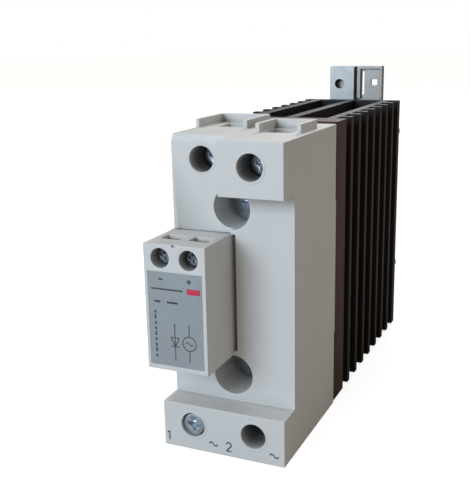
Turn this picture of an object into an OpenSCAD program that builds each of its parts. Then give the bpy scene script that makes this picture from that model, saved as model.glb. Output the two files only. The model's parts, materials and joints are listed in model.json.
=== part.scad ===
// Solid state relay: plastic housing with a plug-in control module in front, a finned
// heatsink behind it, and a sprung bracket for a 35 mm top-hat rail at the back.
// Inside the modules, x = 0 is the middle of the width, y = 0 the main front face of the
// housing with +y towards the rail, and z = 0 the underside. place() moves all of it so
// that the middle of the whole depth lies at y = 0.

/* [Housing] */
// Width of the housing and of the heatsink
body_w = 45; // [45:0.5:48]
// Height of the housing
body_h = 108; // [108:0.5:112]
// Depth of the housing, front face to heatsink
body_d = 44; // [44:0.5:48]
// Thickness of the housing walls
wall = 2; // [1.6:0.1:2.4]
// How far the top right terminal block stands out
top_block = 9.5; // [9:0.1:10]
// Height of the underside of the top right block
top_block_z = 90; // [89.5:0.1:91]
// How far the bottom terminal block stands out
low_block = 9.8; // [9.5:0.1:10.2]
// Height of the bottom terminal block
low_block_h = 16.6; // [16.2:0.1:17]
// How far the top left of the front is set back
left_recess = 2.5; // [2:0.1:3]
// Radius of the two wells that lead to the mounting screws
well_r = 7.1; // [6.8:0.1:7.3]
// Depth of the two wells
well_d = 18; // [17:0.5:19]

/* [Power terminals] */
// Distance of the terminals from the middle
pole_x = 11.25; // [11:0.05:11.5]
// Height of the top terminal screws
pole_top_z = 99.8; // [99.4:0.1:100]
// Height of the bottom terminal screws
pole_low_z = 9.2; // [9:0.1:9.4]
// Radius of the holes for the screwdriver
driver_r = 4.4; // [4.2:0.1:4.6]
// Nominal thread radius of the clamp screws
screw_r = 3; // [2.9:0.05:3.05]
// Travel of the pressure pads
stroke = 9.5; // [8:0.5:9.5]

/* [Control module] */
// Width of the module
module_w = 22; // [21.5:0.1:22.2]
// Height of the module
module_h = 42.6; // [42.2:0.1:42.8]
// How far the module stands out of the housing
module_proud = 20; // [20:0.1:21]
// Height of the underside of the module
module_z = 33.2; // [33.1:0.1:33.4]
// Distance of the control screws from the middle of the module
control_x = 5.1; // [5:0.05:5.2]
// Travel of the control pressure pads
control_stroke = 3.5; // [2.5:0.5:3.5]

/* [Heatsink] */
// Height of the heatsink
sink_h = 108; // [107:0.5:110]
// Height of the heatsink's underside above the underside of the housing
sink_lift = 0.7; // [0.5:0.1:1]
// Depth of the heatsink
sink_d = 97.6; // [97.6:0.1:98]
// Thickness of the base plate
base_t = 12; // [12:0.1:12.5]
// Number of side fins on each side, in front of the rear plate
side_fins = 7; // [5:1:7]
// Distance from one side fin to the next
fin_pitch = 10.7; // [10.4:0.1:10.7]
// Thickness of the side fins
fin_t = 3.2; // [2.6:0.1:3.4]

/* [Rail bracket] */
// Height of the middle of the rail
rail_z = 54; // [52:0.5:56]
// Height of the rail
rail_h = 35; // [35:0.1:35]
// Thickness of the bracket steel
steel_t = 2; // [1.8:0.1:2]
// Travel of the latch
latch_travel = 4; // [3:0.5:4]

/* [Hidden] */
$fn = 64;
slip = 0.01; // how far a cut runs past a face

half_w = body_w / 2;
inner = half_w - wall;
pole_xs = [-pole_x, pole_x];

// Heatsink
sink_y = body_d;
sink_back = sink_y + sink_d;
sink_top = sink_lift + sink_h;
rear_plate_t = 4.6;
web_x = 16.25;
web_t = 3.5;
mid_web_t = 4;
fin_y = sink_y + base_t + 6.2;

// Rail bracket: a hat section whose floor is the seat of the rail
seat_y = sink_back + 8;
floor_y = seat_y - steel_t;
rail_t = 1;
hook_gap = 1.5;
hook_t = 1.9;
hook_y = seat_y + hook_gap;
back_y = hook_y + hook_t;
rail_top = rail_z + rail_h / 2;
rail_low = rail_z - rail_h / 2;
bracket_z = [20, 104];
bracket_half = 15;
tab_top = 124;
foot_x = 18.6;
foot_zs = [30, 94];
blade_t = 1.4;
blade_y = floor_y - 0.3 - blade_t;
spring_x = 6;
spring_y = sink_back + 2.8;
spring_z = [78, 102];
spring_r = 2.05;
wire_r = 0.3;

mid_y = (back_y - module_proud) / 2;

// Housing
rim_y = body_d - 0.6;
well_zs = [25.8, 84.2];
well_wall = 1.6;
column_r = 5.5;
bolt_r = 1.95;
bolt_hole_r = 2.25;
captive_hole_r = 1.98;
bolt_head_r = 4;
bolt_head_h = 3.1;
spring_washer_t = 1;
pocket_x = [-half_w + 2.2, 1.6];
pocket_z = [34.6, 75.6];
pocket_d = 8;
pocket_wall = 1.5;
collar_t = 1.4;
collar_h = 3.2;

// Clamps: the cage's front wall carries the thread, its tunnel takes the wire
cage_front = 4;
tunnel = 12;
bar_t = 2;
cage_back = 2;
cage_half = 7;
tunnel_half = 5.2;
cage_h = 11;
front_cage_y = 9;
deep_cage_y = 21.4;
pad_t = 1.8;
pad_gap = 0.4;
thread_gap = 0.07;
screw_head_r = 3.8;
screw_head_h = 3.8;
head_gap = 4.6;
pin_r = 1.8;
pin_l = 1.2;

// Power stage, from the heatsink to the front
pad_y = body_d - 0.25;
plate_t = 3;
plate_y = pad_y - plate_t;
ceramic_t = 0.63;
ceramic_y = plate_y - ceramic_t;
copper_t = 0.3;
copper_y = ceramic_y - copper_t;
chip_t = 0.42;
chip_y = copper_y - chip_t;
chip = 10;
chip_x = 8;
chip_zs = [61, 47];
gate_x = 5;
stage_z = [33, 77];
strip_half = 4;

// Trigger board
board_t = 1.6;
board_y = 13;
board_back = board_y + board_t;

// Control module
module_x = -module_w / 2 + 0.3;
module_xs = [module_x - module_w / 2, module_x + module_w / 2];
module_zs = [module_z, module_z + module_h];
module_wall = 1.5;
shell_y = -0.25;
nose_xs = [module_xs[0] + 1.7, module_xs[1] - 0.1];
nose_zs = [35, 75.2];
nose_y = 7.2;
control_z = 71.2;
control_r = 3.3;
control_screw_xs = [module_x - control_x, module_x + control_x];
control_cage_y = -14.4;
control_cage_front = 1.6;
control_tunnel = 5.6;
control_bar_t = 0.8;
control_cage_back = 1;
control_cage_h = 5.8;
control_pad_t = 1;
control_thread_r = 1.5;
control_head_r = 2.7;
control_head_h = 1.6;
control_head_gap = 0.2;
control_pad_gap = 0.9;
label_xs = [module_x - 9.9, module_x + 9.7];
label_zs = [34.8, 66.7];
label_t = 0.3;
lens_x = module_x + 6.6;
lens_z = 61;
lens = [4.6, 1.9];
plug_z = 55;
plug_pitch = 3;
plug_r = 0.6;
plug_end = 12.6;
control_board_y = -4.6;

// ---------- helpers ----------

// Moves the device so that the middle of its depth is at y = 0
module place() {
    translate([0, -mid_y, 0]) children();
}

// Box between two x, two y and two z values
module slab(x, y, z) {
    translate([x[0], y[0], z[0]])
        cube([x[1] - x[0], y[1] - y[0], z[1] - z[0]]);
}

// Round bar along y at [x, z]
module rod(at, y, r) {
    translate([at[0], y[0], at[1]])
        rotate([-90, 0, 0]) cylinder(h = y[1] - y[0], r = r);
}

// Prism along x over an outline of [y, z] points
module prism_x(x, outline) {
    translate([x[0], 0, 0])
        rotate([90, 0, 90]) linear_extrude(x[1] - x[0]) polygon(outline);
}

// Range of half width h round a centre
function around(c, h) = [c - h, c + h];

// Cross recess for a screwdriver, cut into a head whose top is at y = 0
module cross_recess(size, depth) {
    for (turn = [0, 90])
        rotate([0, turn, 0])
            slab([-size, size], [-slip, depth], [-size * 0.25, size * 0.25]);
    for (turn = [45, 135])
        rotate([0, turn, 0])
            slab([-size * 0.6, size * 0.6], [-slip, depth * 0.4], [-size * 0.1, size * 0.1]);
}

// Screw along y with its shoulder at y = 0: the pin behind it turns in a pressure pad
module clamp_screw(thread_r, shank, head_r, head_h, tip_r, tip_l) {
    difference() {
        union() {
            rod([0, 0], [-slip, tip_l], tip_r);
            rod([0, 0], [-shank - slip, 0], thread_r);
            rod([0, 0], [-shank - head_h, -shank], head_r);
        }
        translate([0, -shank - head_h, 0]) cross_recess(head_r * 0.66, head_h * 0.62);
    }
}

// Pressure pad with its front face at y = 0
module pressure_pad(half_x, half_z, thick, tip_r, tip_l) {
    difference() {
        slab([-half_x, half_x], [0, thick], [-half_z, half_z]);
        rod([0, 0], [-slip, tip_l + 0.1], tip_r + thread_gap);
    }
}

// Box clamp with its front face at y = 0
module clamp_cage(half_x, tunnel_x, front, depth, back, high, thread_r) {
    difference() {
        slab([-half_x, half_x], [0, front + depth + back], around(0, high / 2));
        slab([-tunnel_x, tunnel_x], [front, front + depth], around(0, high));
        rod([0, 0], [-slip, front + slip], thread_r + thread_gap);
    }
}

// ---------- heatsink and power stage ----------

module heatsink() {
    color([0.10, 0.10, 0.11])
        difference() {
            translate([0, 0, sink_lift]) linear_extrude(sink_h) sink_profile();
            for (z = well_zs)
                rod([0, z], [sink_y - slip, sink_y + 10], bolt_r + 0.05);
            for (x = [-foot_x, foot_x], z = foot_zs)
                rod([x, z], [sink_back - 4.3, sink_back + slip], 2);
        }
}

module sink_profile() {
    translate([-half_w, sink_y]) square([body_w, base_t]);
    translate([-half_w, sink_back - rear_plate_t]) square([body_w, rear_plate_t]);
    web_l = sink_d - base_t - rear_plate_t;
    translate([-mid_web_t / 2, sink_y + base_t - slip]) square([mid_web_t, web_l + 2 * slip]);
    for (side = [-1, 1]) {
        translate([side * web_x - web_t / 2, sink_y + base_t - slip])
            square([web_t, web_l + 2 * slip]);
        for (i = [0 : side_fins - 1])
            translate([side > 0 ? web_x : -half_w, fin_y + i * fin_pitch])
                square([half_w - web_x, fin_t]);
    }
}

module thermal_pad() {
    color([0.75, 0.75, 0.72]) power_plate([pad_y, body_d]);
}

module power_base_plate() {
    color([0.80, 0.79, 0.76]) power_plate([plate_y, pad_y]);
}

module power_plate(y) {
    difference() {
        slab(around(0, inner - 0.7), y, [17, 93]);
        for (z = well_zs)
            rod([0, z], [y[0] - slip, y[1] + slip], bolt_hole_r);
    }
}

module ceramic_substrate() {
    color([0.93, 0.92, 0.88]) slab([-17, 17], [ceramic_y, plate_y], [37, 71]);
}

module copper_pads() {
    color([0.80, 0.48, 0.30])
        for (i = [0, 1])
            slab(around(i == 0 ? -chip_x : chip_x, 7), [copper_y, ceramic_y],
                 around(chip_zs[i], 7));
}

module thyristor_chips() {
    color([0.35, 0.37, 0.42])
        for (i = [0, 1])
            slab(around(i == 0 ? -chip_x : chip_x, chip / 2), [chip_y, copper_y],
                 around(chip_zs[i], chip / 2));
}

// Straps that join each chip's pad to the busbar of the other pole
module cross_straps() {
    color([0.80, 0.48, 0.30]) {
        slab([-2.6, 8], [chip_y, copper_y], [62.5, 65.5]);
        slab([-8, 2.6], [chip_y, copper_y], [42.5, 45.5]);
    }
}

module stage_frame() {
    color([0.16, 0.16, 0.17])
        difference() {
            slab([-19.6, 19.6], [33, plate_y], stage_z);
            slab([-18.1, 18.1], [33 - slip, plate_y + slip], [stage_z[0] + 1.5, stage_z[1] - 1.5]);
            slab(around(-pole_x, strip_half + 0.2), [33 - slip, chip_y + 0.2],
                 [stage_z[0] - slip, stage_z[1] + slip]);
        }
}

// ---------- busbars and clamps ----------

// [x, z, cage front] of the four power clamps
top_left = [-pole_x, pole_top_z, deep_cage_y];
top_right = [pole_x, pole_top_z, front_cage_y];
bottom_left = [-pole_x, pole_low_z, front_cage_y];
bottom_right = [pole_x, pole_low_z, front_cage_y];
clamps = [top_left, top_right, bottom_left, bottom_right];

// y of the front of a busbar inside a clamp
function bar_y(clamp) = clamp[2] + cage_front + tunnel;

// y of a pressure pad's front face when its clamp is closed
function closed_pad_y(clamp) = bar_y(clamp) - pad_gap - pad_t;

// Bar end inside a clamp
module bar_end(clamp) {
    slab(around(clamp[0], tunnel_half - 0.2), [bar_y(clamp), bar_y(clamp) + bar_t],
         around(clamp[1], cage_h / 2));
}

// Strip of busbar at one depth
module strip(x, y, z) {
    slab(around(x, strip_half), [y, y + bar_t], z);
}

// Web that carries a strip from one depth to the other
module step(x, y, z) {
    slab(around(x, strip_half), [y[0], y[1] + bar_t], [z, z + bar_t]);
}

module line_busbar() {
    deep = bar_y(top_left);
    front = bar_y(bottom_left);
    color([0.82, 0.50, 0.32]) {
        bar_end(top_left);
        bar_end(bottom_left);
        strip(-pole_x, deep, [20, pole_top_z]);
        step(-pole_x, [front, deep], 20);
        strip(-pole_x, front, [pole_low_z, 22]);
    }
}

module load_busbar() {
    deep = chip_y - bar_t;
    front = bar_y(top_right);
    color([0.82, 0.50, 0.32]) {
        bar_end(top_right);
        bar_end(bottom_right);
        strip(pole_x, front, [70, pole_top_z]);
        step(pole_x, [front, deep], 70);
        strip(pole_x, deep, [36, 72]);
        step(pole_x, [front, deep], 36);
        strip(pole_x, front, [pole_low_z, 38]);
    }
}

module terminal_cages() {
    color([0.78, 0.76, 0.70])
        for (clamp = clamps)
            translate([clamp[0], clamp[2], clamp[1]])
                clamp_cage(cage_half, tunnel_half, cage_front, tunnel + bar_t, cage_back,
                           cage_h, screw_r);
}

module power_pad(clamp, opened) {
    color([0.78, 0.76, 0.70])
        translate([clamp[0], closed_pad_y(clamp) - opened, clamp[1]])
            pressure_pad(tunnel_half - 0.3, cage_h / 2 - 0.5, pad_t, pin_r, pin_l);
}

module power_screw(clamp, opened) {
    shank = closed_pad_y(clamp) - clamp[2] + head_gap;
    color([0.72, 0.77, 0.84])
        translate([clamp[0], closed_pad_y(clamp) - opened, clamp[1]])
            clamp_screw(screw_r, shank, screw_head_r, screw_head_h, pin_r, pin_l);
}

module top_left_pad() { power_pad(top_left, 0); }
module top_right_pad() { power_pad(top_right, 0); }
module bottom_left_pad() { power_pad(bottom_left, stroke); }
module bottom_right_pad() { power_pad(bottom_right, 0); }
module top_left_screw() { power_screw(top_left, 0); }
module top_right_screw() { power_screw(top_right, 0); }
module bottom_left_screw() { power_screw(bottom_left, stroke); }
module bottom_right_screw() { power_screw(bottom_right, 0); }

// ---------- trigger circuit ----------

module trigger_board() {
    color([0.10, 0.38, 0.22])
        difference() {
            slab([-18.6, 18.6], [board_y, board_back], [36, 73]);
            for (i = [0, 1])
                rod([i == 0 ? -gate_x : gate_x, chip_zs[i]], [board_y - slip, board_back + slip], 0.6);
        }
}

module optocoupler() {
    color([0.90, 0.90, 0.88]) slab([-3.2, 3.2], [board_back, board_back + 3.5], [49.5, 57.5]);
}

module gate_resistors() {
    color([0.25, 0.45, 0.62])
        for (at = [[-15, 47], [8, 40]])
            translate([at[0], board_back + 1.3, at[1]])
                rotate([0, 90, 0]) cylinder(h = 6.5, r = 1.25);
}

module gate_pins() {
    color([0.85, 0.72, 0.35])
        for (i = [0, 1])
            rod([i == 0 ? -gate_x : gate_x, chip_zs[i]], [board_y, chip_y], 0.5);
}

module snubber_capacitor() {
    color([0.78, 0.62, 0.16]) slab([-17, -6], [board_back, board_back + 9], [65.5, 71.5]);
}

module snubber_resistor() {
    color([0.72, 0.66, 0.52])
        translate([3, board_back + 2.3, 69.5])
            rotate([0, 90, 0]) cylinder(h = 12, r = 2.25);
}

module varistor() {
    color([0.16, 0.32, 0.62]) rod([11, 58.5], [board_back + 0.5, board_back + 4.7], 7);
}

module control_socket() {
    color([0.12, 0.12, 0.13])
        difference() {
            slab(around(module_x, 6), [pocket_d, board_y], around(plug_z, 3));
            plug_rows([pocket_d - slip, board_y - 0.1], plug_r + 0.08);
        }
}

// One row of four contacts between control module and trigger board
module plug_rows(y, r) {
    for (i = [-1.5 : 1 : 1.5])
        rod([module_x + i * plug_pitch, plug_z], y, r);
}

// ---------- housing ----------

module housing() {
    color([0.84, 0.86, 0.88])
        difference() {
            union() {
                difference() {
                    housing_outside();
                    housing_cavity();
                }
                housing_insides();
                roof_collars();
            }
            housing_cuts();
        }
}

module housing_outside() {
    difference() {
        slab([-half_w, half_w], [0, rim_y], [0, body_h]);
        slab([-half_w - slip, 0], [-slip, left_recess], [pocket_z[1], body_h + slip]);
        prism_x([-half_w - slip, 0], [[left_recess - slip, body_h - 2.8],
                [left_recess - slip, body_h + slip], [left_recess + 1.5, body_h + slip]]);
    }
    slab([0, half_w], [-top_block, slip], [top_block_z, body_h]);
    slab([-half_w, half_w], [-low_block, slip], [0, low_block_h]);
    // Tongues that reach the heatsink along the middle of both sides
    for (x = [[-half_w, -inner], [inner, half_w]])
        slab(x, [rim_y - slip, body_d], [29, 80]);
}

module housing_cavity() {
    front = left_recess + wall;
    z = [wall, body_h - wall];
    slab([-inner, inner], [front, body_d + slip], z);
    slab([wall, inner], [wall, front + slip], z);
    slab([-inner, wall + slip], [wall, front + slip], [wall, pocket_z[1] - wall]);
    slab([wall, inner], [wall - top_block, wall + slip], [top_block_z + wall, body_h - wall]);
    slab([-inner, inner], [wall - low_block, wall + slip], [wall, low_block_h - wall]);
}

// Pocket walls, wells, screw columns, driver guides and board posts
module housing_insides() {
    slab([-half_w, pocket_x[1] + pocket_wall], [left_recess, pocket_d + pocket_wall],
         [pocket_z[0] - pocket_wall, pocket_z[1] + pocket_wall]);
    slab([-half_w, pocket_x[1] + pocket_wall], [0, left_recess + slip],
         [pocket_z[0] - pocket_wall, pocket_z[1]]);
    for (z = well_zs) {
        r = well_r + well_wall;
        rod([0, z], [left_recess, well_d + well_wall], r);
        rod([0, z], [well_d, plate_y], column_r);
        slab([z < pocket_z[0] ? -r : 0, r], [wall - slip, left_recess + slip], around(z, r));
    }
    rod([-pole_x, pole_top_z], [left_recess, deep_cage_y - 0.4], driver_r + well_wall);
    rod([pole_x, pole_top_z], [-top_block, front_cage_y - 0.4], driver_r + well_wall);
    for (x = pole_xs)
        rod([x, pole_low_z], [-low_block, front_cage_y - 0.4], driver_r + well_wall);
    for (x = [-17, 17], z = [38.5, 70.5])
        rod([x, z], [wall - slip, board_y], 1.5);
}

// Raised collars that guide the wires into the two top terminals
module roof_collars() {
    for (collar = [[[-21.9, -2.1], [20, 41.5]], [[4.5, 20.5], [11.5, 28]]])
        difference() {
            slab(collar[0], collar[1], [body_h - slip, body_h + collar_h]);
            slab([collar[0][0] + collar_t, collar[0][1] - collar_t],
                 [collar[1][0] - slip, collar[1][1] - collar_t],
                 [body_h - 2 * slip, body_h + collar_h + slip]);
        }
}

module housing_cuts() {
    slab(pocket_x, [-slip, pocket_d], pocket_z);
    slab(around(module_x, 6.1), [pocket_d - slip, pocket_d + pocket_wall + slip],
         around(plug_z, 3.1));
    for (z = well_zs) {
        rod([0, z], [-slip, well_d], well_r);
        rod([0, z], [well_d - slip, body_d], captive_hole_r);
    }
    rod([-pole_x, pole_top_z], [-slip, deep_cage_y], driver_r);
    rod([pole_x, pole_top_z], [-top_block - slip, front_cage_y], driver_r);
    for (x = pole_xs) {
        rod([x, pole_low_z], [-low_block - slip, front_cage_y], driver_r);
        wire_hole(x, front_cage_y, [-slip, wall + slip]);
    }
    wire_hole(-pole_x, deep_cage_y, [body_h - wall - slip, body_h + slip]);
    wire_hole(pole_x, front_cage_y, [body_h - wall - slip, body_h + slip]);
}

// Hole through a wall above or below a clamp's tunnel
module wire_hole(x, cage_y, z) {
    slab(around(x, tunnel_half - 0.1), [cage_y + cage_front + 0.4, cage_y + cage_front + tunnel - 0.4], z);
}

module mounting_screws() {
    seat = well_d - spring_washer_t;
    color([0.72, 0.77, 0.84])
        for (z = well_zs)
            difference() {
                union() {
                    rod([0, z], [seat - bolt_head_h, seat], bolt_head_r);
                    rod([0, z], [seat - slip, sink_y + 9.2], bolt_r);
                }
                translate([0, seat - bolt_head_h, z]) cross_recess(2.5, 2);
            }
}

module spring_washers() {
    color([0.62, 0.65, 0.70])
        for (z = well_zs)
            difference() {
                rod([0, z], [well_d - spring_washer_t, well_d], bolt_head_r - 0.2);
                rod([0, z], [well_d - spring_washer_t - slip, well_d + slip], bolt_r + 0.15);
                slab([-0.4, 0.4], [well_d - spring_washer_t - slip, well_d + slip], [z, z + 5]);
            }
}

// ---------- control module ----------

module control_housing() {
    x = module_xs;
    z = module_zs;
    t = module_wall;
    color([0.84, 0.86, 0.87])
        difference() {
            union() {
                difference() {
                    slab(x, [-module_proud, shell_y], z);
                    slab([x[0] + t, x[1] - t], [t - module_proud, shell_y + slip],
                         [z[0] + t, z[1] - t]);
                }
                for (cx = control_screw_xs)
                    rod([cx, control_z], [-module_proud, control_cage_y - 0.4], control_r + 1);
            }
            for (cx = control_screw_xs) {
                rod([cx, control_z], [-module_proud - slip, control_cage_y], control_r);
                slab(around(cx, 3.5), [control_cage_y + control_cage_front + 0.1,
                     control_cage_y + control_cage_front + control_tunnel - 0.1],
                     [z[1] - t - slip, z[1] + slip]);
            }
            slab(label_xs, [-module_proud - slip, label_t - module_proud], label_zs);
            lens_window([-module_proud - slip, t - module_proud + slip], 0);
            slab(around(module_x, 0.8), [-module_proud - slip, 1.2 - module_proud],
                 [z[1] - 0.8, z[1] + slip]);
        }
}

module lens_window(y, gap) {
    slab(around(lens_x, lens[0] / 2 - gap), y, around(lens_z, lens[1] / 2 - gap));
}

module control_cover() {
    x = nose_xs;
    z = nose_zs;
    rim_x = [module_xs[0] + module_wall + 0.1, module_xs[1] - module_wall - 0.1];
    rim_z = [module_zs[0] + module_wall + 0.1, module_zs[1] - module_wall - 0.1];
    rim_t = 1.2;
    color([0.78, 0.80, 0.82])
        difference() {
            union() {
                slab(x, [shell_y, nose_y], z);
                slab(rim_x, [control_board_y + board_t, shell_y + slip], rim_z);
            }
            slab([rim_x[0] + rim_t, rim_x[1] - rim_t],
                 [control_board_y, nose_y - module_wall], [rim_z[0] + rim_t, rim_z[1] - rim_t]);
            slab([x[0] + 1.5, x[1] - 1.5], [1, nose_y - module_wall], [z[0] + 1.5, z[1] - 1.5]);
            plug_rows([nose_y - module_wall - slip, nose_y + slip], plug_r + 0.02);
        }
}

module control_label() {
    color([0.58, 0.62, 0.65])
        difference() {
            slab(label_xs, [-module_proud, label_t - module_proud], label_zs);
            lens_window([-module_proud - slip, label_t - module_proud + slip], 0);
        }
}

module status_light_pipe() {
    color([0.80, 0.18, 0.25]) {
        lens_window([-module_proud, 1.8 - module_proud], 0.05);
        slab(around(lens_x, 1.3), [1.8 - module_proud - slip, control_board_y - 1], around(lens_z, 0.8));
    }
}

module status_led() {
    color([0.95, 0.93, 0.80])
        slab(around(lens_x, 1), [control_board_y - 0.8, control_board_y], around(lens_z, 0.6));
}

module control_board() {
    color([0.10, 0.38, 0.22])
        slab([module_xs[0] + 1.9, module_xs[1] - 1.9], [control_board_y, control_board_y + board_t],
             [36, 66.5]);
}

module control_contacts() {
    y = control_cage_y + control_cage_front + control_tunnel;
    color([0.85, 0.72, 0.35])
        for (cx = control_screw_xs) {
            slab(around(cx, 2.9), [y, y + control_bar_t], around(control_z, control_cage_h / 2));
            slab(around(cx, 1.5), [y, y + control_bar_t], [64, control_z]);
            slab(around(cx, 1.5), [y, control_board_y], [64, 65]);
        }
}

module control_cages() {
    color([0.78, 0.76, 0.70])
        for (cx = control_screw_xs)
            translate([cx, control_cage_y, control_z])
                clamp_cage(4, 3.1, control_cage_front, control_tunnel + control_bar_t,
                           control_cage_back, control_cage_h, control_thread_r);
}

module plug_pins() {
    color([0.85, 0.72, 0.35]) plug_rows([control_board_y + board_t, plug_end], plug_r);
}

control_pad_y = control_cage_y + control_cage_front + control_tunnel - control_pad_gap - control_pad_t;

module control_pad(cx) {
    color([0.78, 0.76, 0.70])
        translate([cx, control_pad_y, control_z])
            pressure_pad(2.8, control_cage_h / 2 - 0.3, control_pad_t, 0.9, 0.6);
}

module control_screw(cx) {
    shank = control_pad_y - control_cage_y + control_head_gap;
    color([0.66, 0.70, 0.76])
        translate([cx, control_pad_y, control_z])
            clamp_screw(control_thread_r, shank, control_head_r, control_head_h, 0.9, 0.6);
}

module control_left_pad() { control_pad(control_screw_xs[0]); }
module control_right_pad() { control_pad(control_screw_xs[1]); }
module control_left_screw() { control_screw(control_screw_xs[0]); }
module control_right_screw() { control_screw(control_screw_xs[1]); }

// ---------- rail bracket ----------

module din_bracket() {
    color([0.74, 0.76, 0.78])
        difference() {
            union() {
                bracket_hat();
                bracket_tab();
                // Fixed claws over the top edge of the rail
                for (x = [-10, 10]) {
                    slab(around(x, 3), [seat_y - slip, back_y], [rail_top + 0.3, rail_top + 2.5]);
                    slab(around(x, 3), [hook_y, back_y], [rail_top - 2, rail_top + 2.5]);
                }
                // Ledge under the latch spring
                slab(around(spring_x, 3), [sink_back + 0.3, floor_y + slip],
                     [spring_z[0] - 1.5, spring_z[0]]);
            }
            // Slot for the latch's hook
            slab([-5.5, 5.5], [floor_y - slip, seat_y + slip],
                 [rail_low - 2.5 - latch_travel - 0.8, rail_low]);
            for (x = [-foot_x, foot_x], z = foot_zs)
                rod([x, z], [sink_back - slip, sink_back + steel_t + slip], 2.2);
        }
}

module bracket_hat() {
    translate([0, 0, bracket_z[0]])
        linear_extrude(bracket_z[1] - bracket_z[0]) {
            translate([-bracket_half, floor_y]) square([2 * bracket_half, steel_t]);
            for (side = [-1, 1]) {
                translate([side > 0 ? bracket_half - steel_t : -bracket_half, sink_back])
                    square([steel_t, seat_y - sink_back]);
                translate([side > 0 ? bracket_half - steel_t : -bracket_half - 6.5, sink_back])
                    square([6.5 + steel_t, steel_t]);
            }
        }
}

// Upright tab with folded edges, a square window and a narrow slot
module bracket_tab() {
    y = [blade_y, floor_y + slip];
    top = [tab_top - 1.4, tab_top];
    z = [bracket_z[1] + 5, tab_top];
    difference() {
        union() {
            slab([-12.2, 12.6], [floor_y, seat_y], [bracket_z[1] - slip, tab_top]);
            slab([0.4, 2.2], y, z);
            slab([11.4, 12.6], y, z);
            slab([0.4, 12.6], y, top);
        }
        slab(around(8.4, 1.5), [floor_y - slip, seat_y + slip], around(116.4, 1.35));
        slab([2.3, 3.7], [floor_y - slip, seat_y + slip], [110.5, 121.5]);
    }
}

module bracket_screws() {
    color([0.72, 0.77, 0.84])
        for (x = [-foot_x, foot_x], z = foot_zs)
            difference() {
                union() {
                    rod([x, z], [sink_back + steel_t, sink_back + steel_t + 2.6], 3.4);
                    rod([x, z], [sink_back - 4, sink_back + steel_t + slip], 1.95);
                }
                translate([x, sink_back + steel_t + 2.6, z])
                    rotate([180, 0, 0]) cross_recess(2.3, 1.5);
            }
}

module din_latch() {
    y = [blade_y, blade_y + blade_t];
    tab_x = [-12, -0.2];
    tab_front = sink_back + 2;
    color([0.78, 0.80, 0.82])
        difference() {
            union() {
                difference() {
                    slab([-12, 12], y, [31.5, 106]);
                    slab(around(spring_x, 3.6), [y[0] - slip, y[1] + slip],
                         [spring_z[0] - 2, spring_z[1]]);
                }
                // Upper seat of the spring
                slab(around(spring_x, 3), [sink_back + 0.3, y[0] + slip],
                     [spring_z[1], spring_z[1] + 1.4]);
                // Hook under the bottom edge of the rail
                slab([-5, 5], [y[0], back_y], [rail_low - 2.5, rail_low - 0.3]);
                slab([-5, 5], [hook_y, back_y], [rail_low - 2.5, rail_low + 2]);
                // Folded tab, open towards the bracket
                difference() {
                    slab(tab_x, [tab_front, y[1]], [104, tab_top]);
                    slab([tab_x[0] + 1.2, tab_x[1] - 1.2], [tab_front + 1.2, y[1] + slip],
                         [106, tab_top - 1.2]);
                }
            }
            rod([-7.4, 115.8], [tab_front - slip, tab_front + 1.2 + slip], 2.1);
        }
}

// Points of a helical wire: ring i of n, each ring with `sides` corners
function coil_ring(i, n, turns, sides) =
    let (turn = 360 * turns * i / n,
         low = spring_z[0] + wire_r,
         high = spring_z[1] - wire_r,
         z = low + (high - low) * i / n)
    [for (k = [0 : sides - 1])
        let (a = 360 * k / sides, r = spring_r + wire_r * cos(a))
        [spring_x + r * cos(turn), spring_y + r * sin(turn), z + wire_r * sin(a)]];

module latch_spring() {
    turns = 9;
    sides = 8;
    n = turns * 12;
    points = [for (i = [0 : n]) each coil_ring(i, n, turns, sides)];
    walls = [for (i = [0 : n - 1], k = [0 : sides - 1])
        let (k2 = (k + 1) % sides)
        [i * sides + k, (i + 1) * sides + k, (i + 1) * sides + k2, i * sides + k2]];
    first = [for (k = [0 : sides - 1]) k];
    last = [for (k = [sides - 1 : -1 : 0]) n * sides + k];
    color([0.66, 0.69, 0.73]) polyhedron(points, concat([first, last], walls));
}

// ---------- assembly ----------

place() heatsink();
place() thermal_pad();
place() power_base_plate();
place() ceramic_substrate();
place() copper_pads();
place() thyristor_chips();
place() cross_straps();
place() stage_frame();
place() line_busbar();
place() load_busbar();
place() terminal_cages();
place() trigger_board();
place() optocoupler();
place() gate_resistors();
place() gate_pins();
place() snubber_capacitor();
place() snubber_resistor();
place() varistor();
place() control_socket();
place() housing();
place() mounting_screws();
place() spring_washers();
place() top_left_pad();
place() top_right_pad();
place() bottom_left_pad();
place() bottom_right_pad();
place() top_left_screw();
place() top_right_screw();
place() bottom_left_screw();
place() bottom_right_screw();
place() control_housing();
place() control_cover();
place() control_label();
place() status_light_pipe();
place() status_led();
place() control_board();
place() control_contacts();
place() control_cages();
place() plug_pins();
place() control_left_pad();
place() control_right_pad();
place() control_left_screw();
place() control_right_screw();
place() din_bracket();
place() bracket_screws();
place() din_latch();
place() latch_spring();
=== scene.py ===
"""Looks of the solid state relay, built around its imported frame.

Metres; +X is right, +Y goes from the front to the rail and +Z is up."""
import json
import math

import bmesh
import bpy
from mathutils import Matrix, Vector

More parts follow.
